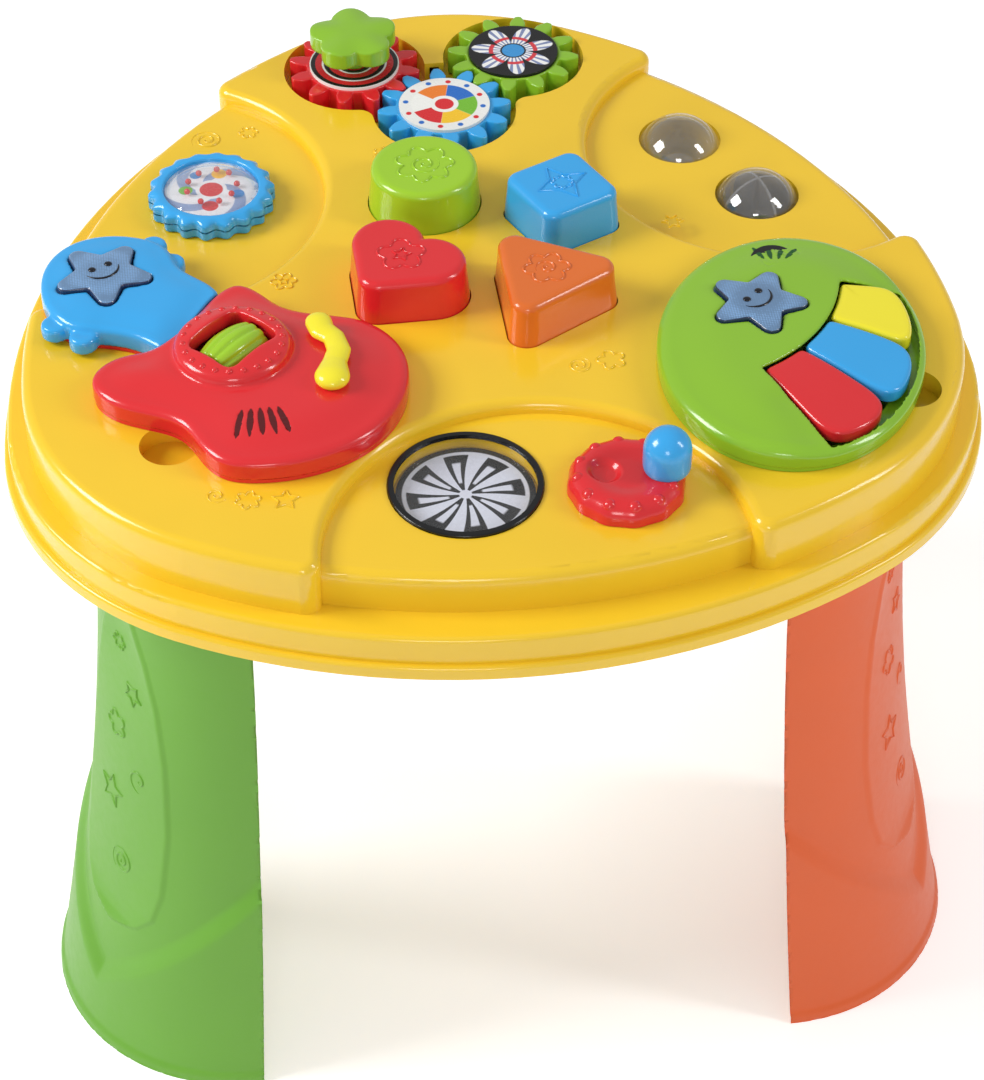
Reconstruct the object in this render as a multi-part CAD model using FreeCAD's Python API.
import FreeCAD, Part
import math
import os
from FreeCAD import Vector

os.makedirs("parts", exist_ok=True)

# A musical activity table for toddlers. Millimetres, +Z up, floor at zero.
# The plan is a rounded triangle. Its corners carry a guitar, a piano and three gears,
# and the sides between them hold lower play zones.

# Heights
skirt_bottom = 330.0
deck_rise = 50.0
zone_drop = 7.0
ledge_height = 22.0
flange_height = 7.0
deck_top = skirt_bottom + deck_rise
zone_top = deck_top - zone_drop

# Plan of the table top
side_reach = 226.0
corner_reach = 103.5
corner_radius = 150.0
skirt_inset = 3.0
lobe_inset = 12.5
zone_inset = 21.0
zone_reach = 193.0
zone_radius = 98.0
wall = 2.6
corner_angles = (90.0, 210.0, 330.0)
side_angles = (-90.0, 30.0, 150.0)
step_round = 8.0
deck_edge_round = 5.0
skirt_edge_round = 2.5
flange_edge_round = 2.0

# Clearances
running_gap = 0.05
seat_gap = 0.3
drop_gap = 0.5
button_gap = 0.4

# Legs: chord distance, half width and bulge, from the skirt down to the floor
leg_top_reach = 184.0
leg_top_half_width = 60.0
leg_top_bulge = 36.0
foot_reach = 213.0
foot_half_width = 84.0
foot_bulge = 50.0
leg_flare = 1.6
leg_levels = 5
leg_wall = 3.0
foot_plate = 4.0
leg_top_plate = 5.0
leg_rib = 2.5
leg_rib_heights = (120.0, 225.0)
plug_width = 76.0
plug_depth = 20.0
plug_height = 12.0
plug_offset = 14.0
leg_screw_spacing = 44.0

# Base pan
pan_thickness = 3.0
pan_recess = 1.0
pan_bottom = skirt_bottom + pan_recess
pan_top = pan_bottom + pan_thickness
socket_wall = 2.5

# Screws
case_screw_radius = 1.5
case_screw_head = 3.2
case_screw_head_height = 1.6
case_boss_radius = 4.5
leg_screw_radius = 2.2
leg_screw_head = 4.2
leg_screw_head_height = 2.6

# Gears on the back corner
gear_teeth = 12
gear_pitch_radius = 31.0
gear_addendum = 4.4
gear_dedendum = 5.4
gear_backlash = 1.0
gear_pressure_angle = 25.0
blue_gear_y = 146.0
gear_fan_angle = 46.0
gear_depth = 12.0
gear_height = 14.5
gear_lift = 0.5
gear_post_radius = 5.0
tray_margin = 2.5
tray_blend = 8.0
cover_radius = 24.0
cover_thickness = 2.0
cover_sink = 0.8
post_head_radius = 8.0
post_head_height = 2.0
head_room = 4.0
flower_petal_radius = 10.5
flower_petal_reach = 13.0
flower_petals = 5
flower_thickness = 11.0
flower_stem_radius = 7.0
flower_stem_height = 10.0

# Shape blocks and their wells
well_depth = 15.0
block_rise = 23.0
block_wall = 2.4
block_edge_round = 4.0
round_block_place = (-20.0, 68.0)
round_block_radius = 28.5
square_block_place = (46.5, 43.5)
square_block_side = 46.0
square_block_turn = 25.0
square_block_corner = 8.0
heart_block_place = (-64.0, -28.0)
heart_side = 38.0
heart_tip_round = 11.0
triangle_block_place = (28.5, -24.0)
triangle_block_reach = 26.0
triangle_block_corner = 9.0

# Rattle
rattle_place = (-127.0, 90.0)
rattle_radius = 31.0
rattle_scallop = 0.8
rattle_scallops = 18
rattle_height = 11.0
rattle_post_radius = 6.0
rattle_post_height = 6.0
rattle_card_thickness = 0.8
rattle_dome_height = 8.0
rattle_dome_wall = 1.2
rattle_bead_radius = 1.8
rattle_beads = 7
rattle_bead_reach = 13.0

# Rolling balls
ball_places = ((120.5, 113.0), (151.0, 60.0))
ball_radius = 22.5
ball_wall = 1.6
ball_show = 12.0
ball_window_gap = 0.45
cup_wall = 4.0
cup_floor = 2.5
ball_vane_thickness = 1.5
ball_bead_radius = 3.2
ball_beads = 6

# Spinner window, crank dial and the gear train between them
spinner_place = (-26.7, -141.3)
crank_place = (46.0, -153.7)
spinner_well_radius = 34.0
spinner_well_depth = 8.0
bezel_ledge = 1.5
bezel_width = 2.5
bezel_height = 2.0
window_thickness = 1.0
spinner_radius = 32.5
spinner_thickness = 1.2
spinner_lift = 1.0
dial_radius = 27.6
dial_scallop = 1.2
dial_scallops = 12
dial_height = 8.5
dial_dimple_radius = 7.0
dial_dimple_depth = 3.0
dial_dimple_reach = 14.0
crank_reach = 18.5
knob_radius = 11.5
knob_pin_radius = 3.0
knob_lift = 1.0
shaft_radius = 5.0
journal_radius = 4.0
train_teeth = 18
train_pressure_angle = 20.0
train_backlash = 0.5
train_bottom = 352.0
train_height = 6.0
idler_post_radius = 3.0
train_plate_top = 349.6
train_plate_thickness = 2.6
train_plate_margin = 9.0
train_bosses = ((-70.0, -152.0), (10.0, -113.0), (12.0, -184.0), (83.0, -140.0))
collar_wall = 3.0
collar_drop = 10.0

# Pan screw bosses, each with the height that it hangs from. The first stands just inside the back leg.
pan_boss_setback = 12.0
pan_bosses = (
    (0.0, leg_top_reach - pan_boss_setback, deck_top), (-78.0, 152.0, deck_top), (78.0, 152.0, deck_top),
    (0.0, -84.0, deck_top), (-86.0, 30.0, deck_top), (94.0, 20.0, deck_top),
)

# Both lift-off modules
module_sink = 12.0
module_rise = 17.0
module_plate = 2.0
module_wall = 2.2
module_edge_round = 5.0
module_boss_radius = 3.4
plate_margin = 0.5
cell_radius = 7.1
cell_length = 50.0
board_thickness = 1.6
board_length = 28.0
board_width = 16.0
board_lift = 3.0
board_post_radius = 2.5
board_post_spacing = 20.0
speaker_radius = 11.0
speaker_height = 6.0
slot_width = 1.8
slot_length = 15.0
star_reach = 19.5
star_waist = 9.0
star_round = 4.5
star_stand = 2.5
star_slack = 0.1
star_flange = 1.6
star_flange_height = 1.5
module_bottom = deck_top + seat_gap
module_top = deck_top + module_rise
plate_top = module_bottom + module_plate
tub_bottom = deck_top - module_sink + seat_gap

# Guitar, as points of closed smooth outlines in plan
guitar_outline = (
    (-119.5, -136.0), (-94.5, -134.0), (-69.0, -122.0), (-53.5, -104.0), (-45.0, -79.0),
    (-49.0, -54.0), (-64.0, -37.0), (-86.0, -29.0), (-101.0, -21.0), (-110.5, -9.0),
    (-120.5, -2.5), (-131.0, -9.0), (-141.0, -24.0), (-162.0, -46.0), (-180.0, -50.0),
    (-193.0, -64.0), (-188.0, -79.0), (-171.0, -91.0), (-154.0, -102.0), (-146.0, -118.0),
    (-136.5, -131.0),
)
neck_outline = (
    (-150.0, -50.0), (-128.0, -22.0), (-132.0, -2.0), (-147.0, 16.0), (-152.0, 31.0),
    (-165.0, 42.0), (-183.0, 46.0), (-200.0, 41.0), (-211.0, 28.0), (-215.0, 9.0),
    (-211.0, -11.0), (-201.0, -24.0), (-187.0, -29.0), (-174.0, -34.0), (-163.0, -43.0),
)
guitar_tub = (
    (-122.0, -122.0), (-86.0, -115.0), (-62.0, -88.0), (-68.0, -52.0), (-108.0, -38.0),
    (-128.0, -38.0), (-144.0, -59.0), (-148.0, -82.0), (-138.0, -104.0),
)
tub_round = 6.0
neck_rise = 14.0
neck_seat_inset = 2.5
neck_edge_round = 3.5
tuner_places = ((-209.0, -17.0), (-196.0, -28.0), (-151.0, 24.0), (-159.0, 39.0))
tuner_radius = 7.0
tuner_drop = 4.0
guitar_star_place = (-184.0, 11.0)
guitar_star_turn = -88.0
roller_place = (-126.0, -58.0)
roller_turn = 43.0
roller_radius = 13.0
roller_end_radius = 10.0
roller_length = 30.0
roller_axis_height = deck_top + 13.0
roller_journal = 2.0
roller_journal_reach = 19.5
roller_post_thickness = 3.5
roller_post_width = 9.0
roller_post_cap = 2.0
roller_gap = 1.5
hood_radius = 28.0
hood_rise = 5.0
hood_edge_round = 3.5
lever_pivot = (-82.0, -88.5)
lever_tip = (-84.0, -45.0)
lever_ball_radius = 8.5
lever_bar_radius = 5.5
lever_height = 7.0
lever_pin_radius = 3.0
lever_clip_radius = 5.0
lever_clip_height = 1.5
guitar_slots_place = (-117.0, -111.0)
guitar_slots_turn = 90.0
guitar_slot_count = 5
slot_spacing = 5.2
slot_fan = 7.0
guitar_screws = ((-112.0, -24.0), (-176.0, -66.0), (-52.0, -76.0), (-138.5, -120.5))
neck_screws = ((-150.0, -20.0), (-190.0, -20.0))
guitar_cell_place = (-98.0, -86.0)
guitar_cell_turn = 66.0
guitar_board_place = (-131.0, -90.0)
guitar_board_turn = 90.0
guitar_notch = (-160.0, -103.0)
notch_radius = 14.0
notch_depth = 10.0

# Piano, an ellipse in plan
piano_place = (137.8, -81.2)
piano_long = 82.0
piano_short = 64.0
piano_turn = 76.0
piano_edge_round = 7.0
piano_tub_inset = 10.0
piano_star_place = (126.0, -57.0)
piano_star_turn = -82.0
key_centre = (84.3, -23.8)
key_angles = (-14.0, -33.0, -50.0, -67.0)
key_inner_reach = 88.0
key_outer_inset = 4.8
key_bay_inset = 3.6
key_gap = 0.7
key_bottom = deck_top + 6.0
key_rise = 9.5
key_edge_round = 1.5
key_rib_width = 4.0
key_rib_end = -58.0
piano_slots_place = (142.5, -18.0)
piano_speaker_place = (141.0, -22.0)
piano_slots_turn = 120.0
piano_slot_count = 4
piano_screws = ((179.0, -20.0), (101.5, -27.0), (81.0, -67.0), (109.5, -152.0))
piano_cell_place = (113.6, -87.5)
piano_cell_turn = 76.0
piano_board_place = (122.0, -50.0)
piano_board_turn = 0.0
piano_notch = (190.5, -110.0)


# Geometry helpers
def polar(reach, degrees):
    angle = math.radians(degrees)
    return Vector(reach * math.cos(angle), reach * math.sin(angle), 0)


def at(place, z=0.0):
    return Vector(place[0], place[1], z)


def raised(shape, z):
    moved = shape.copy()
    moved.translate(Vector(0, 0, z))
    return moved


def slab(wire, low, high):
    return raised(Part.Face(wire), low).extrude(Vector(0, 0, high - low))


def rod(place, radius, low, high):
    return Part.makeCylinder(radius, high - low, at(place, low))


def fused(shapes):
    return shapes[0].multiFuse(list(shapes[1:])).removeSplitter()


def flat_edges(shape, z):
    found = []
    for edge in shape.Edges:
        box = edge.BoundBox
        if abs(box.ZMin - z) < 0.01 and abs(box.ZMax - z) < 0.01:
            found.append(edge)
    return found


def rounded_top(shape, z, radius):
    return shape.makeFillet(radius, flat_edges(shape, z))


def upright_edges(shape):
    found = []
    for edge in shape.Edges:
        box = edge.BoundBox
        if box.XLength < 0.01 and box.YLength < 0.01 and box.ZLength > 1.0:
            found.append(edge)
    return found


def turned(shape, place, degrees):
    moved = shape.copy()
    moved.rotate(Vector(0, 0, 0), Vector(0, 0, 1), degrees)
    moved.translate(at(place))
    return moved


def disc_wire(place, radius):
    return Part.Wire(Part.makeCircle(radius, at(place)))


def rounded_wire(points, rounding):
    corners = [at(point) for point in points]
    corners.append(corners[0])
    return Part.makePolygon(corners).makeOffset2D(rounding)


def closed_curve(places):
    curve = Part.BSplineCurve()
    curve.interpolate(Points=places, PeriodicFlag=True)
    return curve


def smooth_wire(points, grow=0.0):
    curve = closed_curve([at(point) for point in points])
    if grow:
        samples = 4 * len(points)
        first, last = curve.FirstParameter, curve.LastParameter
        moved = []
        for index in range(samples):
            step = first + (last - first) * index / samples
            ahead = curve.tangent(step)[0]
            moved.append(curve.value(step) + Vector(ahead.y, -ahead.x, 0) * grow)
        curve = closed_curve(moved)
    return Part.Wire(curve.toShape())


def wavy_wire(radius, wave, waves):
    places = []
    samples = waves * 6
    for index in range(samples):
        angle = 360.0 * index / samples
        places.append(polar(radius + wave * math.cos(math.radians(angle * waves)), angle))
    return Part.Wire(closed_curve(places).toShape())


def ellipse_wire(grow):
    curve = Part.Ellipse(Vector(0, 0, 0), piano_long + grow, piano_short + grow)
    return turned(Part.Wire(curve.toShape()), piano_place, piano_turn)


def star_wire(place, turn, grow):
    points = []
    for index in range(10):
        reach = star_reach if index % 2 == 0 else star_waist
        tip = polar(reach, turn + 36.0 * index)
        points.append((place[0] + tip.x, place[1] + tip.y))
    return rounded_wire(points, star_round + grow)


def stadium(first, second, radius, low, high):
    along = at(second) - at(first)
    side = Vector(-along.y, along.x, 0).normalize() * radius
    corners = [at(first) + side, at(first) - side, at(second) - side, at(second) + side]
    bar = slab(Part.makePolygon(corners + corners[:1]), low, high)
    return fused([bar, rod(first, radius, low, high), rod(second, radius, low, high)])


def centred_box(place, turn, length, width, low, high):
    box = Part.makeBox(length, width, high - low, Vector(-length / 2, -width / 2, low))
    return turned(box, place, turn)


def save(name, shape):
    # the plan is drawn about the middle of the table top, and stored about the middle of its depth
    depth_middle = (foot_reach + foot_bulge - side_reach) / 2.0
    placed = shape.copy()
    placed.translate(Vector(0, -depth_middle, 0))
    placed.exportStep("parts/" + name + ".step")


# Screws and the holes that they sit in
def screw(place, head_low, tip, shank, head, head_height):
    body = rod(place, shank, head_low, tip)
    return fused([rod(place, head, head_low, head_low + head_height), body])


def screw_hole(place, head_low, tip, shank, head, head_height):
    gap = running_gap
    sink = rod(place, head + gap, head_low - 5.0, head_low + head_height)
    return sink.fuse(rod(place, shank + gap, head_low - 5.0, tip + 0.5))


# Table top outline: three corner arcs and three side arcs, tangent to each other
def side_setback():
    spare = side_reach - corner_radius
    return (spare ** 2 - corner_reach ** 2) / (corner_reach - 2.0 * spare)


def tangent_point(corner, side, inset):
    setback = side_setback()
    side_centre = polar(setback, side + 180.0)
    towards = (polar(corner_reach, corner) - side_centre).normalize()
    return side_centre + towards * (side_reach + setback - inset)


def deck_wire(inset):
    edges = []
    for corner in corner_angles:
        side = corner + 60.0
        start = tangent_point(corner, side - 120.0, inset)
        middle = polar(corner_reach + corner_radius - inset, corner)
        join = tangent_point(corner, side, inset)
        edges.append(Part.Arc(start, middle, join).toShape())
        far = tangent_point(corner + 120.0, side, inset)
        edges.append(Part.Arc(join, polar(side_reach - inset, side), far).toShape())
    return Part.Wire(edges)


def zone_discs(grow, low, high):
    discs = [rod(polar(zone_reach, side), zone_radius + grow, low, high) for side in side_angles]
    return discs[0].multiFuse(discs[1:])


# Spur gears
def gear_angle(radius, teeth, pitch_radius, pressure_angle, backlash):
    base = pitch_radius * math.cos(math.radians(pressure_angle))
    at_pitch = math.pi / (2.0 * teeth) - backlash / (4.0 * pitch_radius)
    lean = math.radians(pressure_angle)
    involute_pitch = math.tan(lean) - lean
    if radius <= base:
        return at_pitch + involute_pitch
    lean = math.acos(base / radius)
    return at_pitch + involute_pitch - (math.tan(lean) - lean)


def gear_wire(teeth, pitch_radius, addendum, dedendum, pressure_angle, backlash, phase):
    base = pitch_radius * math.cos(math.radians(pressure_angle))
    outer = pitch_radius + addendum
    root = pitch_radius - dedendum
    flank = [max(root, base) + (outer - max(root, base)) * step / 4.0 for step in range(5)]
    edges = []
    pitch = 360.0 / teeth

    def spot(radius, tooth, sign):
        half = gear_angle(radius, teeth, pitch_radius, pressure_angle, backlash)
        return polar(radius, phase + tooth * pitch + sign * math.degrees(half))

    for tooth in range(teeth):
        rising = [spot(radius, tooth, -1) for radius in flank]
        falling = [spot(radius, tooth, 1) for radius in reversed(flank)]
        start = spot(root, tooth, -1)
        finish = spot(root, tooth, 1)
        next_start = spot(root, tooth + 1, -1)
        valley = polar(root, phase + (tooth + 0.5) * pitch)
        crest = polar(outer, phase + tooth * pitch)
        climb = Part.BSplineCurve()
        climb.interpolate(Points=rising)
        fall = Part.BSplineCurve()
        fall.interpolate(Points=falling)
        edges.append(Part.LineSegment(start, rising[0]).toShape())
        edges.append(climb.toShape())
        edges.append(Part.Arc(rising[-1], crest, falling[0]).toShape())
        edges.append(fall.toShape())
        edges.append(Part.LineSegment(falling[-1], finish).toShape())
        edges.append(Part.Arc(finish, valley, next_start).toShape())
    return Part.Wire(edges)


def mesh_phase(phase, direction, teeth, other_teeth):
    lead = phase - direction
    return direction + 180.0 - lead * teeth / other_teeth + 180.0 / other_teeth


# Block outlines
def heart_wire(grow):
    lobe = heart_side / 2.0
    radius = lobe + grow
    tip = heart_tip_round
    reach = math.sqrt(radius ** 2 - (heart_side / math.sqrt(8.0)) ** 2) / math.sqrt(2.0)
    notch = Vector(0.75 * heart_side + reach, 0.75 * heart_side + reach, 0)
    low = tip - (tip + grow) / math.sqrt(2.0)
    left_top = Vector(-grow, heart_side, 0)
    right_low = Vector(heart_side, -grow, 0)
    tip_left = Vector(-grow, tip, 0)
    tip_right = Vector(tip, -grow, 0)
    edges = [
        Part.Arc(tip_left, Vector(low, low, 0), tip_right).toShape(),
        Part.LineSegment(tip_right, right_low).toShape(),
        Part.Arc(right_low, Vector(heart_side + radius, lobe, 0), notch).toShape(),
        Part.Arc(notch, Vector(lobe, heart_side + radius, 0), left_top).toShape(),
        Part.LineSegment(left_top, tip_left).toShape(),
    ]
    return turned(Part.Wire(edges), heart_block_place, 0.0)


def corner_points(place, reach, count, turn):
    points = []
    for index in range(count):
        spot = polar(reach, turn + 360.0 * index / count)
        points.append((place[0] + spot.x, place[1] + spot.y))
    return points


def round_block_wire(grow):
    return disc_wire(round_block_place, round_block_radius + grow)


def square_block_wire(grow):
    reach = (square_block_side / 2.0 - square_block_corner) * math.sqrt(2.0)
    points = corner_points(square_block_place, reach, 4, square_block_turn + 45.0)
    return rounded_wire(points, square_block_corner + grow)


def triangle_block_wire(grow):
    points = corner_points(triangle_block_place, triangle_block_reach, 3, 0.0)
    return rounded_wire(points, triangle_block_corner + grow)


block_wires = {
    "round_block": round_block_wire,
    "square_block": square_block_wire,
    "heart_block": heart_wire,
    "triangle_block": triangle_block_wire,
}


def block(wire):
    low = deck_top - well_depth
    high = deck_top + block_rise
    outer = rounded_top(slab(wire(0.0), low, high), high, block_edge_round)
    return outer.cut(slab(wire(-block_wall), low - 1.0, high - block_wall))


# Gear places and phases
blue_gear_place = (0.0, blue_gear_y)
gear_distance = 2.0 * gear_pitch_radius


def gear_place(angle):
    step = polar(gear_distance, angle)
    return (step.x, blue_gear_y + step.y)


green_gear_place = gear_place(gear_fan_angle)
red_gear_place = gear_place(180.0 - gear_fan_angle)
gear_places = {"red": red_gear_place, "blue": blue_gear_place, "green": green_gear_place}
gear_phases = {
    "blue": 0.0,
    "green": mesh_phase(0.0, gear_fan_angle, gear_teeth, gear_teeth),
    "red": mesh_phase(0.0, 180.0 - gear_fan_angle, gear_teeth, gear_teeth),
}
tray_floor = deck_top - gear_depth
gear_bottom = tray_floor + gear_lift
gear_top = gear_bottom + gear_height
post_head_bottom = gear_top - head_room + seat_gap
cover_bottom = gear_top - cover_sink


def gear(colour):
    place = gear_places[colour]
    wire = gear_wire(gear_teeth, gear_pitch_radius, gear_addendum, gear_dedendum,
                     gear_pressure_angle, gear_backlash, gear_phases[colour])
    body = slab(turned(wire, place, 0.0), gear_bottom, gear_top)
    body = body.cut(rod(place, gear_post_radius + running_gap, gear_bottom - 1.0, gear_top))
    body = body.cut(rod(place, post_head_radius + 1.0, gear_top - head_room, gear_top + 1.0))
    return body.cut(rod(place, cover_radius + seat_gap, cover_bottom, gear_top + 1.0))


def gear_cover(colour):
    return rod(gear_places[colour], cover_radius, cover_bottom, cover_bottom + cover_thickness)


def gear_tray(grow, low, high):
    radius = gear_pitch_radius + gear_addendum + tray_margin + grow
    pools = [rod(place, radius, low, high) for place in gear_places.values()]
    corners = [at(place) for place in gear_places.values()]
    pools.append(slab(Part.makePolygon(corners + corners[:1]), low, high))
    tray = fused(pools)
    behind = red_gear_place[1] - gear_pitch_radius / 2.0
    blend = [edge for edge in upright_edges(tray) if edge.BoundBox.YMin < behind]
    return tray.makeFillet(tray_blend, blend)


def flower_knob():
    low = cover_bottom + cover_thickness
    petal_low = low + flower_stem_height
    high = petal_low + flower_thickness
    parts = [rod(red_gear_place, flower_stem_radius, low, high)]
    for point in corner_points(red_gear_place, flower_petal_reach, flower_petals, 90.0):
        petal = rod(point, flower_petal_radius, petal_low, high)
        parts.append(petal)
    return fused(parts)


# Rattle
rattle_bottom = zone_top + seat_gap
rattle_top = rattle_bottom + rattle_height
rattle_head_bottom = zone_top + rattle_post_height
rattle_card_bottom = rattle_top - 3.0


def rattle_ring():
    wire = turned(wavy_wire(rattle_radius, rattle_scallop, rattle_scallops), rattle_place, 0.0)
    ring = rounded_top(slab(wire, rattle_bottom, rattle_top), rattle_top, 1.2)
    ring = ring.cut(rod(rattle_place, rattle_post_radius + running_gap, rattle_bottom - 1.0, rattle_top))
    head_low = rattle_head_bottom - seat_gap
    ring = ring.cut(rod(rattle_place, post_head_radius + 1.0, head_low, rattle_top + 1.0))
    return ring.cut(rod(rattle_place, cover_radius + seat_gap, rattle_card_bottom, rattle_top + 1.0))


def rattle_dome():
    low = rattle_card_bottom + rattle_card_thickness
    rise = rattle_dome_height
    radius = (cover_radius ** 2 + rise ** 2) / (2.0 * rise)
    centre = at(rattle_place, low + rise - radius)
    cap = Part.makeSphere(radius, centre).cut(Part.makeSphere(radius - rattle_dome_wall, centre))
    keep = rod(rattle_place, cover_radius, low, low + rise + 1.0)
    return cap.common(keep)


def rattle_bead_set():
    low = rattle_card_bottom + rattle_card_thickness
    beads = []
    for point in corner_points(rattle_place, rattle_bead_reach, rattle_beads, 20.0):
        beads.append(Part.makeSphere(rattle_bead_radius, at(point, low + rattle_bead_radius + 0.1)))
    return Part.makeCompound(beads)


# Rolling balls and the cups that hold them
ball_centre_height = zone_top + ball_show - ball_radius


def ball_cups():
    cups = []
    for place in ball_places:
        low = ball_centre_height - ball_radius - ball_window_gap - cup_floor
        cup = rod(place, ball_radius + cup_wall, low, zone_top - wall)
        room = ball_radius + ball_window_gap
        cup = cup.cut(Part.makeSphere(room, at(place, ball_centre_height)))
        cups.append(cup.cut(rod(place, room, ball_centre_height, zone_top)))
    return Part.makeCompound(cups)


def ball_shell(place):
    centre = at(place, ball_centre_height)
    return Part.makeSphere(ball_radius, centre).cut(Part.makeSphere(ball_radius - ball_wall, centre))


def ball_vanes(place):
    half = ball_vane_thickness / 2.0
    reach = math.sqrt((ball_radius - ball_wall - 0.1) ** 2 - half ** 2)
    discs = []
    for angle in (20.0, 110.0):
        facing = polar(1.0, angle)
        start = at(place, ball_centre_height) - facing * half
        discs.append(Part.makeCylinder(reach, ball_vane_thickness, start, facing))
    return fused(discs)


def ball_bead_set(place):
    room = ball_radius - ball_wall - ball_bead_radius - 0.1
    beads = []
    for index in range(ball_beads):
        spot = polar(room * math.cos(math.radians(60.0)), 360.0 * index / ball_beads)
        lift = -room * math.sin(math.radians(60.0))
        centre = at(place, ball_centre_height) + spot + Vector(0, 0, lift)
        beads.append(Part.makeSphere(ball_bead_radius, centre))
    return Part.makeCompound(beads)


# Spinner, crank and gear train
train_span = (at(crank_place) - at(spinner_place)).Length
train_pitch_radius = train_span / 4.0
train_module = 2.0 * train_pitch_radius / train_teeth
train_direction = math.degrees(math.atan2(crank_place[1] - spinner_place[1],
                                          crank_place[0] - spinner_place[0]))
idler_place = ((spinner_place[0] + crank_place[0]) / 2.0, (spinner_place[1] + crank_place[1]) / 2.0)
spinner_floor = zone_top - spinner_well_depth
train_top = train_bottom + train_height
train_plate_bottom = train_plate_top - train_plate_thickness
shaft_tip = train_plate_bottom
bezel_seat = zone_top - bezel_ledge


def train_gear(place, phase):
    wire = gear_wire(train_teeth, train_pitch_radius, 0.9 * train_module, 1.2 * train_module,
                     train_pressure_angle, train_backlash, phase)
    return slab(turned(wire, place, 0.0), train_bottom, train_top)


spinner_phase = 0.0
idler_phase = mesh_phase(spinner_phase, train_direction, train_teeth, train_teeth)
crank_phase = mesh_phase(idler_phase, train_direction, train_teeth, train_teeth)


def spinner_gear():
    wheel = train_gear(spinner_place, spinner_phase)
    shaft = rod(spinner_place, journal_radius, shaft_tip, spinner_floor + spinner_lift)
    return fused([wheel, shaft])


def spinner_disc():
    low = spinner_floor + spinner_lift
    return rod(spinner_place, spinner_radius, low, low + spinner_thickness)


def spinner_window():
    return rod(spinner_place, spinner_well_radius + bezel_width / 2.0, bezel_seat, bezel_seat + window_thickness)


def spinner_bezel():
    low = bezel_seat + window_thickness
    outer = spinner_well_radius + bezel_width - seat_gap
    ring = rod(spinner_place, outer, low, low + bezel_height)
    ring = rounded_top(ring, low + bezel_height, 0.8)
    return ring.cut(rod(spinner_place, spinner_well_radius - 0.8, low - 1.0, low + bezel_height + 1.0))


def idler_gear():
    wheel = train_gear(idler_place, idler_phase)
    return wheel.cut(rod(idler_place, idler_post_radius + running_gap, train_bottom - 1.0, train_top + 1.0))


def crank_gear():
    wheel = train_gear(crank_place, crank_phase)
    return wheel.cut(rod(crank_place, journal_radius, train_bottom - 1.0, train_top + 1.0))


dial_bottom = zone_top + seat_gap
dial_top = dial_bottom + dial_height
knob_place = (crank_place[0] + crank_reach, crank_place[1])
knob_centre = dial_top + knob_lift + knob_radius


def crank_dial():
    wire = turned(wavy_wire(dial_radius, dial_scallop, dial_scallops), crank_place, 0.0)
    dial = rounded_top(slab(wire, dial_bottom, dial_top), dial_top, 1.5)
    dimple = (crank_place[0] - dial_dimple_reach, crank_place[1] + 2.0)
    dial = dial.cut(rod(dimple, dial_dimple_radius, dial_top - dial_dimple_depth, dial_top + 1.0))
    shaft = rod(crank_place, shaft_radius, train_top, dial_bottom + 1.0)
    journal = rod(crank_place, journal_radius, shaft_tip, train_top + 1.0)
    pin = rod(knob_place, knob_pin_radius, dial_top - 1.0, knob_centre)
    return fused([dial, shaft, journal, pin])


def crank_knob():
    ball = Part.makeSphere(knob_radius, at(knob_place, knob_centre))
    return ball.cut(rod(knob_place, knob_pin_radius + running_gap, knob_centre - 2.0 * knob_radius,
                        knob_centre + seat_gap))


def train_plate():
    low, high = train_plate_bottom, train_plate_top
    parts = [stadium(spinner_place, crank_place, journal_radius + train_plate_margin, low, high)]
    for boss in train_bosses:
        parts.append(stadium(idler_place, boss, case_boss_radius + 1.0, low, high))
    parts.append(rod(idler_place, idler_post_radius, low, train_top + seat_gap))
    plate = fused(parts)
    for place in (spinner_place, crank_place):
        plate = plate.cut(rod(place, journal_radius + running_gap, low - 1.0, high + 1.0))
    for boss in train_bosses:
        plate = plate.cut(screw_hole(boss, low - case_screw_head_height, high, case_screw_radius,
                                     case_screw_head, case_screw_head_height))
    return plate


# Legs: an arc-backed shell, open towards the middle of the table
def leg_values(z):
    drop = 1.0 - z / pan_bottom
    share = drop ** leg_flare
    reach = leg_top_reach + (foot_reach - leg_top_reach) * share
    half_width = leg_top_half_width + (foot_half_width - leg_top_half_width) * share
    bulge = leg_top_bulge + (foot_bulge - leg_top_bulge) * share
    return reach, half_width, bulge


def leg_wire(z, inset):
    reach, half_width, bulge = leg_values(z)
    back = reach - (2.0 * inset if inset else 0.0)
    side = half_width - inset
    first = Vector(back, -side, z)
    second = Vector(back, side, z)
    arc = Part.Arc(first, Vector(reach + bulge - inset, 0, z), second).toShape()
    return Part.Wire([arc, Part.LineSegment(second, first).toShape()])


def leg_solid(inset):
    heights = [pan_bottom * index / (leg_levels - 1.0) for index in range(leg_levels)]
    return Part.makeLoft([leg_wire(z, inset) for z in heights], True, False)


def leg_holes(z_low, z_high, radius):
    reach = leg_top_reach + plug_offset
    holes = []
    for side in (-1.0, 1.0):
        holes.append(rod((reach, side * leg_screw_spacing / 2.0), radius, z_low, z_high))
    return holes


def plug_box(grow, low, high):
    width = plug_width + 2.0 * grow
    depth = plug_depth + 2.0 * grow
    return centred_box((leg_top_reach + plug_offset, 0.0), 90.0, width, depth, low, high)


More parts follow.
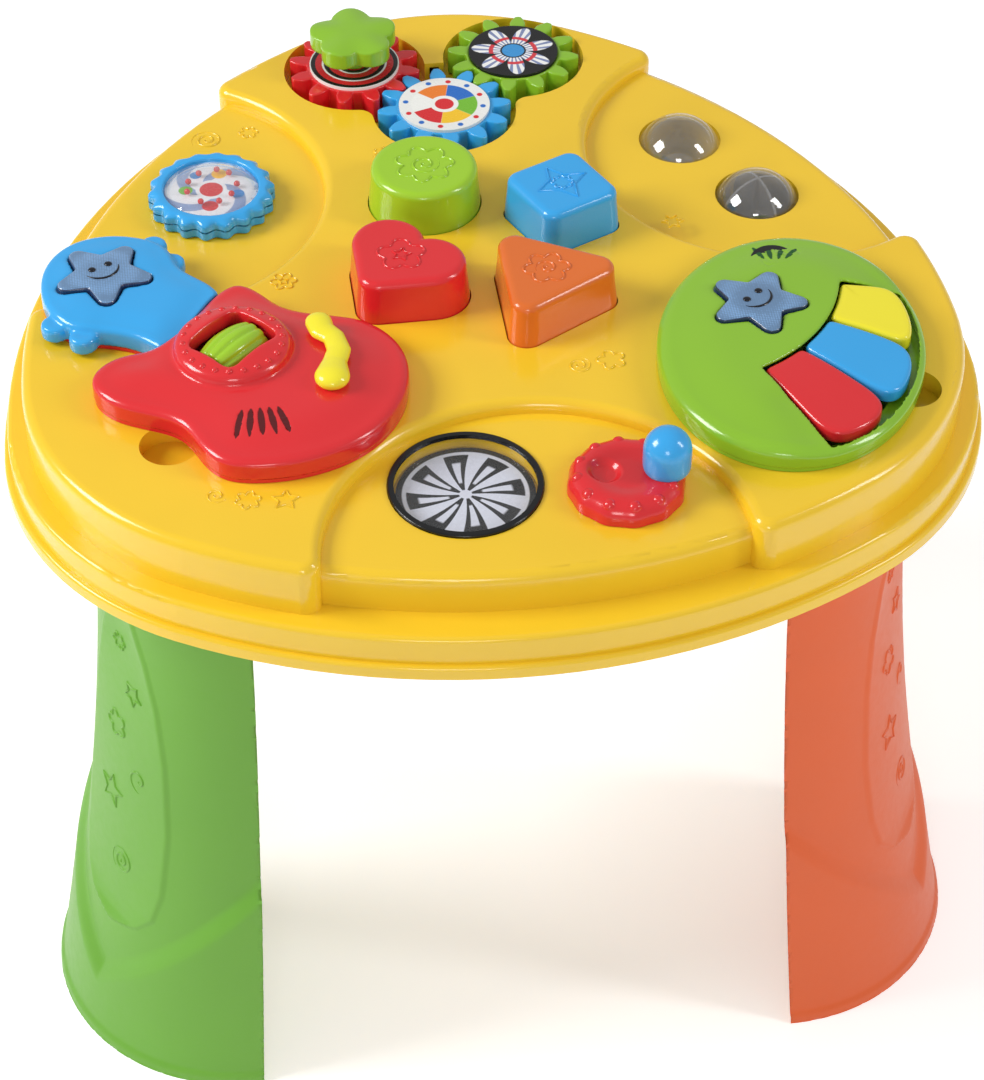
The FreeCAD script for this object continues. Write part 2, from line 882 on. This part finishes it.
def leg():
    outer = leg_solid(0.0)
    shell = outer.cut(leg_solid(leg_wall))
    plates = [(0.0, foot_plate), (pan_bottom - leg_top_plate, pan_bottom)]
    plates += [(z, z + leg_rib) for z in leg_rib_heights]
    span = foot_reach + foot_bulge + leg_top_reach
    floors = []
    for low, high in plates:
        box = Part.makeBox(span, 2.0 * span, high - low, Vector(0.0, -span, low))
        floors.append(outer.common(box))
    shell = fused([shell] + floors + [plug_box(0.0, pan_bottom - 1.0, pan_bottom + plug_height)])
    for hole in leg_holes(pan_bottom - leg_top_plate - 1.0, pan_bottom + plug_height + 1.0,
                          leg_screw_radius + running_gap):
        shell = shell.cut(hole)
    return shell


leg_head_bottom = pan_bottom - leg_top_plate - leg_screw_head_height
socket_ceiling = pan_bottom + plug_height + seat_gap
leg_screw_tip = socket_ceiling + socket_wall + 8.0


def leg_screw_set():
    screws = []
    reach = leg_top_reach + plug_offset
    for corner in corner_angles:
        for side in (-1.0, 1.0):
            place = (reach, side * leg_screw_spacing / 2.0)
            item = screw(place, leg_head_bottom, leg_screw_tip, leg_screw_radius,
                         leg_screw_head, leg_screw_head_height)
            screws.append(turned(item, (0.0, 0.0), corner))
    return Part.makeCompound(screws)


# Base pan with a socket for each leg
pan_inset = skirt_inset + wall + seat_gap


def base_pan():
    pan = slab(deck_wire(pan_inset), pan_bottom, pan_top)
    for corner in corner_angles:
        cup = plug_box(seat_gap + socket_wall, pan_bottom, socket_ceiling + socket_wall)
        posts = leg_holes(socket_ceiling, leg_screw_tip, leg_screw_radius + socket_wall)
        pan = fused([pan, turned(fused([cup] + posts), (0.0, 0.0), corner)])
    for corner in corner_angles:
        room = plug_box(seat_gap, pan_bottom - 1.0, socket_ceiling)
        holes = leg_holes(pan_bottom, leg_screw_tip + 1.0, leg_screw_radius + running_gap)
        pan = pan.cut(turned(fused([room] + holes), (0.0, 0.0), corner))
    for x, y, _ in pan_bosses:
        pan = pan.cut(screw_hole((x, y), pan_bottom, pan_top, case_screw_radius,
                                 case_screw_head, case_screw_head_height))
    return pan


def case_screw_set():
    screws = []
    for x, y, _ in pan_bosses:
        screws.append(screw((x, y), pan_bottom, pan_top + 12.0, case_screw_radius,
                            case_screw_head, case_screw_head_height))
    for boss in train_bosses:
        low = train_plate_bottom - case_screw_head_height
        screws.append(screw(boss, low, train_plate_top + 12.0, case_screw_radius,
                            case_screw_head, case_screw_head_height))
    return Part.makeCompound(screws)


def post_screw_set():
    screws = []
    for place in gear_places.values():
        screws.append(screw_down(place, post_head_bottom))
    screws.append(screw_down(rattle_place, rattle_head_bottom))
    return Part.makeCompound(screws)


def screw_down(place, seat):
    head = rod(place, post_head_radius, seat, seat + post_head_height)
    return fused([head, rod(place, case_screw_radius, seat - 5.0, seat)])


# Deck shell
def deck_outside():
    flange = slab(deck_wire(0.0), skirt_bottom, skirt_bottom + flange_height)
    flange = rounded_top(flange, skirt_bottom + flange_height, flange_edge_round)
    skirt_top = skirt_bottom + ledge_height
    skirt = rounded_top(slab(deck_wire(skirt_inset), skirt_bottom, skirt_top), skirt_top, skirt_edge_round)
    zones = rounded_top(slab(deck_wire(zone_inset), skirt_bottom, zone_top), zone_top, deck_edge_round)
    lobes = slab(deck_wire(lobe_inset), skirt_bottom, deck_top)
    lobes = lobes.cut(zone_discs(0.0, skirt_bottom - 1.0, deck_top + 1.0))
    lobes = lobes.makeFillet(step_round, upright_edges(lobes))
    lobes = rounded_top(lobes, deck_top, deck_edge_round)
    seat = slab(smooth_wire(neck_outline, -neck_seat_inset), skirt_bottom, deck_top)
    seat = seat.common(slab(deck_wire(lobe_inset + 1.0), skirt_bottom, deck_top))
    return fused([flange, skirt, zones, lobes, seat])


def deck_hollow():
    low = skirt_bottom - 1.0
    skirt = slab(deck_wire(skirt_inset + wall), low, skirt_bottom + ledge_height - wall)
    zones = slab(deck_wire(zone_inset + wall), low, zone_top - wall)
    lobes = slab(deck_wire(lobe_inset + wall), low, deck_top - wall)
    lobes = lobes.cut(zone_discs(wall, low - 1.0, deck_top + 1.0))
    lobes = lobes.makeFillet(step_round - wall, upright_edges(lobes))
    seat = slab(smooth_wire(neck_outline, -neck_seat_inset - wall), low, deck_top - wall)
    seat = seat.common(slab(deck_wire(lobe_inset + wall + 1.0), low, deck_top))
    return fused([skirt, zones, lobes, seat])


def guitar_tub_wire(grow):
    return rounded_wire(guitar_tub, tub_round + grow)


def piano_tub_wire(grow):
    return ellipse_wire(grow - piano_tub_inset)


def deck_pockets(grow):
    # grow is zero for the hollow itself and the wall's thickness for the cup round it
    drop = grow
    pockets = []
    for wire in block_wires.values():
        pockets.append(slab(wire(drop_gap + grow), deck_top - well_depth - seat_gap - drop, deck_top + 30.0))
    for tub in (guitar_tub_wire, piano_tub_wire):
        pockets.append(slab(tub(drop_gap + grow), deck_top - module_sink - drop, deck_top + 30.0))
    for place in (guitar_notch, piano_notch):
        pockets.append(rod(place, notch_radius + grow, deck_top - notch_depth - drop, deck_top + 30.0))
    pockets.append(gear_tray(grow, tray_floor - drop, deck_top + 30.0))
    pockets.append(rod(spinner_place, spinner_well_radius + grow, spinner_floor - drop, deck_top))
    return pockets


def deck_shell():
    outside = deck_outside()
    cups = [cup.common(outside) for cup in deck_pockets(wall)]
    cups.append(rod(crank_place, shaft_radius + running_gap + collar_wall, zone_top - collar_drop, zone_top - 1.0))
    cups.append(rod(spinner_place, journal_radius + running_gap + collar_wall,
                    spinner_floor - wall - 3.0, spinner_floor - 1.0))
    for x, y, ceiling in pan_bosses:
        cups.append(rod((x, y), case_boss_radius, pan_top + 0.1, ceiling - 1.0))
    for boss in train_bosses:
        cups.append(rod(boss, case_boss_radius, train_plate_top, zone_top - 1.0))
    shell = fused([outside.cut(deck_hollow())] + cups)
    for pocket in deck_pockets(0.0):
        shell = shell.cut(pocket)
    posts = [rod(place, gear_post_radius, tray_floor - 1.0, post_head_bottom) for place in gear_places.values()]
    posts.append(rod(rattle_place, rattle_post_radius, zone_top - 1.0, rattle_head_bottom))
    shell = fused([shell] + posts)
    cuts = [rod(place, case_screw_radius + running_gap, post_head_bottom - 5.5, post_head_bottom + 1.0)
            for place in gear_places.values()]
    cuts.append(rod(rattle_place, case_screw_radius + running_gap, rattle_head_bottom - 5.5, rattle_head_bottom + 1.0))
    cuts.append(rod(spinner_place, spinner_well_radius + bezel_width, bezel_seat, deck_top))
    cuts.append(rod(spinner_place, journal_radius + running_gap, train_top, spinner_floor + 1.0))
    cuts.append(rod(crank_place, shaft_radius + running_gap, train_top, zone_top + 1.0))
    opening = math.sqrt(ball_radius ** 2 - (zone_top - wall - ball_centre_height) ** 2) + ball_window_gap
    for place in ball_places:
        cuts.append(rod(place, opening, zone_top - wall - 1.0, zone_top + 1.0))
    for x, y, _ in pan_bosses:
        cuts.append(rod((x, y), case_screw_radius + running_gap, pan_top, pan_top + 12.5))
    for boss in train_bosses:
        cuts.append(rod(boss, case_screw_radius + running_gap, train_plate_top, train_plate_top + 12.5))
    for cut in cuts:
        shell = shell.cut(cut)
    return shell


# Parts that both modules share
def slot_cuts(place, turn, count):
    cuts = []
    for index in range(count):
        offset = index - (count - 1) / 2.0
        centre = at(place) + polar(offset * slot_spacing, turn - 90.0)
        angle = turn + offset * slot_fan
        cuts.append(centred_box((centre.x, centre.y), angle, slot_length, slot_width,
                                module_top - 10.0, module_top + 10.0))
    return cuts


def module_screws(places, tip):
    low = module_bottom
    return [screw(place, low, tip, case_screw_radius, case_screw_head, 1.2) for place in places]


def module_screw_holes(places, tip):
    low = module_bottom
    return [screw_hole(place, low, tip, case_screw_radius, case_screw_head, 1.2) for place in places]


def star_button(place, turn, top):
    high = top + star_stand
    low = top - module_wall - star_slack - star_flange_height
    button = rounded_top(slab(star_wire(place, turn, 0.0), low, high), high, 1.5)
    flange = slab(star_wire(place, turn, star_flange), low, low + star_flange_height)
    return fused([button, flange])


def star_hole(place, turn, top):
    return slab(star_wire(place, turn, button_gap), top - 8.0, top + 8.0)


def cells(place, turn):
    low = tub_bottom + module_wall + 0.5
    pair = []
    for side in (-1.0, 1.0):
        middle = at(place, low + cell_radius) + polar(side * (cell_radius + 0.4), turn + 90.0)
        start = middle - polar(cell_length / 2.0, turn)
        pair.append(Part.makeCylinder(cell_radius, cell_length, start, polar(1.0, turn)))
    return Part.makeCompound(pair)


def door_box(place, turn, grow, low, high):
    return centred_box(place, turn, cell_length + 8.0 + 2.0 * grow, 4.0 * cell_radius + 6.0 + 2.0 * grow, low, high)


def battery_door(place, turn):
    lid = door_box(place, turn, -seat_gap, tub_bottom, tub_bottom + module_wall)
    return lid


def board(place, turn):
    return centred_box(place, turn, board_length, board_width, board_low, board_low + board_thickness)


def board_posts(place, turn):
    posts = []
    for side in (-0.5, 0.5):
        spot = at(place) + polar(side * board_post_spacing, turn)
        posts.append(rod((spot.x, spot.y), board_post_radius, tub_bottom + 1.0, board_low))
    return posts


# Guitar module
neck_top = plate_top + neck_rise - module_plate
board_low = tub_bottom + module_wall + board_lift


def guitar_back():
    plate = slab(smooth_wire(guitar_outline, -plate_margin), module_bottom, plate_top)
    neck = slab(smooth_wire(neck_outline, -plate_margin), module_bottom, plate_top)
    tub = slab(guitar_tub_wire(0.0), tub_bottom, plate_top)
    back = fused([plate, neck, tub])
    back = back.cut(slab(guitar_tub_wire(-module_wall), tub_bottom + module_wall, plate_top + 1.0))
    posts = []
    for side in (-1.0, 1.0):
        centre = at(roller_place) + polar(side * (roller_length / 2.0 + 2.3), roller_turn)
        posts.append(centred_box((centre.x, centre.y), roller_turn, roller_post_thickness, roller_post_width,
                                 tub_bottom + 1.0, roller_axis_height + roller_journal + roller_post_cap))
    back = fused([back] + posts + board_posts(guitar_board_place, guitar_board_turn))
    axis = polar(1.0, roller_turn)
    start = at(roller_place, roller_axis_height) - axis * (roller_journal_reach + 1.0)
    back = back.cut(Part.makeCylinder(roller_journal + running_gap, 2.0 * roller_journal_reach + 2.0, start, axis))
    back = back.cut(door_box(guitar_cell_place, guitar_cell_turn, 0.0, tub_bottom - 1.0, tub_bottom + module_wall + 1.0))
    for hole in module_screw_holes(guitar_screws, module_top - 5.0) + module_screw_holes(neck_screws, neck_top - 4.0):
        back = back.cut(hole)
    return back


def guitar_top():
    outside = slab(smooth_wire(guitar_outline), plate_top, module_top)
    outside = rounded_top(outside, module_top, module_edge_round)
    hood = rod(roller_place, hood_radius, module_top - 4.0, module_top + hood_rise)
    hood = rounded_top(hood, module_top + hood_rise, hood_edge_round)
    room = slab(smooth_wire(guitar_outline, -module_wall), plate_top - 1.0, module_top - module_wall)
    top = outside.cut(room)
    bosses = [rod(place, module_boss_radius, plate_top, module_top - 1.0) for place in guitar_screws]
    bosses = [boss.common(outside) for boss in bosses]
    top = fused([top, hood] + bosses)
    gap = centred_box(roller_place, roller_turn, roller_length + 2.0 * roller_gap + 1.0,
                      2.0 * (roller_radius + roller_gap), module_top - 12.0, module_top + 20.0)
    gap = gap.makeFillet(5.0, upright_edges(gap))
    top = top.cut(gap)
    post_top = roller_axis_height + roller_journal + roller_post_cap
    top = top.cut(centred_box(roller_place, roller_turn, 2.0 * roller_journal_reach + 2.0,
                              roller_post_width + 1.0, module_top - 12.0, post_top + seat_gap))
    top = top.cut(rod(lever_pivot, lever_pin_radius + running_gap, module_top - 5.0, module_top + 5.0))
    for cut in slot_cuts(guitar_slots_place, guitar_slots_turn, guitar_slot_count):
        top = top.cut(cut)
    for hole in module_screw_holes(guitar_screws, module_top - 5.0):
        top = top.cut(hole)
    return top


def guitar_neck():
    body = slab(smooth_wire(guitar_outline), plate_top - 5.0, module_top + 5.0)
    outside = rounded_top(slab(smooth_wire(neck_outline), plate_top, neck_top), neck_top, neck_edge_round)
    tuners = []
    for place in tuner_places:
        tuner = rod(place, tuner_radius, plate_top, neck_top - tuner_drop)
        tuners.append(rounded_top(tuner, neck_top - tuner_drop, 2.5))
    room = slab(smooth_wire(neck_outline, -module_wall), plate_top - 1.0, neck_top - module_wall)
    room = room.cut(slab(smooth_wire(guitar_outline, module_wall), plate_top - 5.0, module_top))
    neck = fused([outside] + tuners).cut(room).cut(body)
    bosses = [rod(place, module_boss_radius, plate_top, neck_top - 1.0) for place in neck_screws]
    neck = fused([neck] + bosses)
    neck = neck.cut(star_hole(guitar_star_place, guitar_star_turn, neck_top))
    for hole in module_screw_holes(neck_screws, neck_top - 4.0):
        neck = neck.cut(hole)
    return neck


def roller():
    half = roller_length / 2.0
    rise = roller_radius - roller_end_radius
    points = [Vector(-half, 0, roller_end_radius), Vector(0, 0, roller_radius), Vector(half, 0, roller_end_radius)]
    arc = Part.Arc(*points).toShape()
    outline = [arc, Part.LineSegment(points[2], Vector(half, 0, 0)).toShape(),
               Part.LineSegment(Vector(half, 0, 0), Vector(-half, 0, 0)).toShape(),
               Part.LineSegment(Vector(-half, 0, 0), points[0]).toShape()]
    drum = Part.Face(Part.Wire(outline)).revolve(Vector(0, 0, 0), Vector(1, 0, 0), 360.0)
    reach = roller_journal_reach
    axle = Part.makeCylinder(roller_journal, 2.0 * reach, Vector(-reach, 0, 0), Vector(1, 0, 0))
    drum = fused([drum, axle])
    drum.rotate(Vector(0, 0, 0), Vector(0, 0, 1), roller_turn)
    drum.translate(at(roller_place, roller_axis_height))
    return drum


def lever():
    low = module_top + seat_gap
    high = low + lever_height
    bar = stadium(lever_pivot, lever_tip, lever_bar_radius, low, high)
    knob = rod(lever_pivot, lever_ball_radius, low, high)
    handle = rounded_top(fused([bar, knob]), high, 2.5)
    clip_high = module_top - module_wall - seat_gap
    pin = rod(lever_pivot, lever_pin_radius, clip_high - 1.0, low + 1.0)
    clip = rod(lever_pivot, lever_clip_radius, clip_high - lever_clip_height, clip_high)
    return fused([handle, pin, clip])


# Piano module
def piano_back():
    plate = slab(ellipse_wire(-plate_margin), module_bottom, plate_top)
    back = fused([plate, slab(piano_tub_wire(0.0), tub_bottom, plate_top)])
    back = back.cut(slab(piano_tub_wire(-module_wall), tub_bottom + module_wall, plate_top + 1.0))
    ribs = board_posts(piano_board_place, piano_board_turn)
    rib = key_sector(key_angles[0] - 1.0, key_rib_end, key_inner_reach, key_inner_reach + key_rib_width)
    rib = slab(rib, tub_bottom + 1.0, key_bottom - seat_gap)
    ribs.append(rib.common(slab(piano_tub_wire(-1.0), tub_bottom, deck_top + 20.0)))
    back = fused([back] + ribs)
    back = back.cut(door_box(piano_cell_place, piano_cell_turn, 0.0, tub_bottom - 1.0, tub_bottom + module_wall + 1.0))
    for hole in module_screw_holes(piano_screws, module_top - 5.0):
        back = back.cut(hole)
    return back


def key_sector(first, second, inner, outer):
    centre = at(key_centre)
    middle = (first + second) / 2.0
    spots = [centre + polar(reach, angle) for reach in (inner, outer) for angle in (first, middle, second)]
    edges = [
        Part.Arc(spots[0], spots[1], spots[2]).toShape(),
        Part.LineSegment(spots[2], spots[5]).toShape(),
        Part.Arc(spots[5], spots[4], spots[3]).toShape(),
        Part.LineSegment(spots[3], spots[0]).toShape(),
    ]
    return Part.Wire(edges)


def piano_key(index):
    spare = math.degrees(key_gap / 2.0 / key_inner_reach)
    wire = key_sector(key_angles[index] - spare, key_angles[index + 1] + spare, key_inner_reach, 160.0)
    high = key_bottom + key_rise
    key = slab(wire, key_bottom, high).common(slab(ellipse_wire(-key_outer_inset), key_bottom, high))
    return rounded_top(key, high, key_edge_round)


def piano_top():
    outside = rounded_top(slab(ellipse_wire(0.0), plate_top, module_top), module_top, piano_edge_round)
    top = outside.cut(slab(ellipse_wire(-module_wall), plate_top - 1.0, module_top - module_wall))
    bosses = [rod(place, module_boss_radius, plate_top, module_top - 1.0).common(outside) for place in piano_screws]
    top = fused([top] + bosses)
    bay = slab(key_sector(key_angles[0] + 0.3, key_angles[-1] - 0.3, key_inner_reach - key_gap, 160.0),
               plate_top + 1.0, module_top + 1.0)
    top = top.cut(bay.common(slab(ellipse_wire(-key_bay_inset), plate_top, module_top + 2.0)))
    top = top.cut(star_hole(piano_star_place, piano_star_turn, module_top))
    for cut in slot_cuts(piano_slots_place, piano_slots_turn, piano_slot_count):
        top = top.cut(cut)
    for hole in module_screw_holes(piano_screws, module_top - 5.0):
        top = top.cut(hole)
    return top


def speaker(place):
    high = module_top - module_wall
    return rod(place, speaker_radius, high - speaker_height, high)


# Everything, one solid or group of like solids to a file
def main():
    save("base_pan", base_pan())
    for name, corner in (("leg_back", 90.0), ("leg_left", 210.0), ("leg_right", 330.0)):
        save(name, turned(leg(), (0.0, 0.0), corner))
    save("leg_screws", leg_screw_set())
    save("case_screws", case_screw_set())
    save("post_screws", post_screw_set())
    save("ball_cups", ball_cups())
    for colour in gear_places:
        save(colour + "_gear", gear(colour))
        save(colour + "_gear_cover", gear_cover(colour))
    save("flower_knob", flower_knob())
    for name, wire in block_wires.items():
        save(name, block(wire))
    save("rattle_ring", rattle_ring())
    save("rattle_card", rod(rattle_place, cover_radius, rattle_card_bottom, rattle_card_bottom + rattle_card_thickness))
    save("rattle_dome", rattle_dome())
    save("rattle_beads", rattle_bead_set())
    save("bead_ball_shell", ball_shell(ball_places[0]))
    save("bead_ball_beads", ball_bead_set(ball_places[0]))
    save("vane_ball_shell", ball_shell(ball_places[1]))
    save("vane_ball_vanes", ball_vanes(ball_places[1]))
    save("spinner_disc", spinner_disc())
    save("spinner_gear", spinner_gear())
    save("spinner_window", spinner_window())
    save("spinner_bezel", spinner_bezel())
    save("idler_gear", idler_gear())
    save("crank_gear", crank_gear())
    save("crank_dial", crank_dial())
    save("crank_knob", crank_knob())
    save("train_plate", train_plate())
    save("guitar_back", guitar_back())
    save("guitar_top", guitar_top())
    save("guitar_neck", guitar_neck())
    save("guitar_star", star_button(guitar_star_place, guitar_star_turn, neck_top))
    save("guitar_roller", roller())
    save("guitar_lever", lever())
    save("guitar_cells", cells(guitar_cell_place, guitar_cell_turn))
    save("guitar_door", battery_door(guitar_cell_place, guitar_cell_turn))
    save("guitar_board", board(guitar_board_place, guitar_board_turn))
    save("guitar_speaker", speaker(guitar_slots_place))
    screws = module_screws(guitar_screws, module_top - 6.0) + module_screws(neck_screws, neck_top - 5.0)
    save("guitar_screws", Part.makeCompound(screws))
    save("piano_back", piano_back())
    save("piano_top", piano_top())
    save("piano_star", star_button(piano_star_place, piano_star_turn, module_top))
    for index, colour in enumerate(("yellow", "blue", "red")):
        save(colour + "_key", piano_key(index))
    save("piano_cells", cells(piano_cell_place, piano_cell_turn))
    save("piano_door", battery_door(piano_cell_place, piano_cell_turn))
    save("piano_board", board(piano_board_place, piano_board_turn))
    save("piano_speaker", speaker(piano_speaker_place))
    save("piano_screws", Part.makeCompound(module_screws(piano_screws, module_top - 6.0)))
    save("deck_shell", deck_shell())


main()
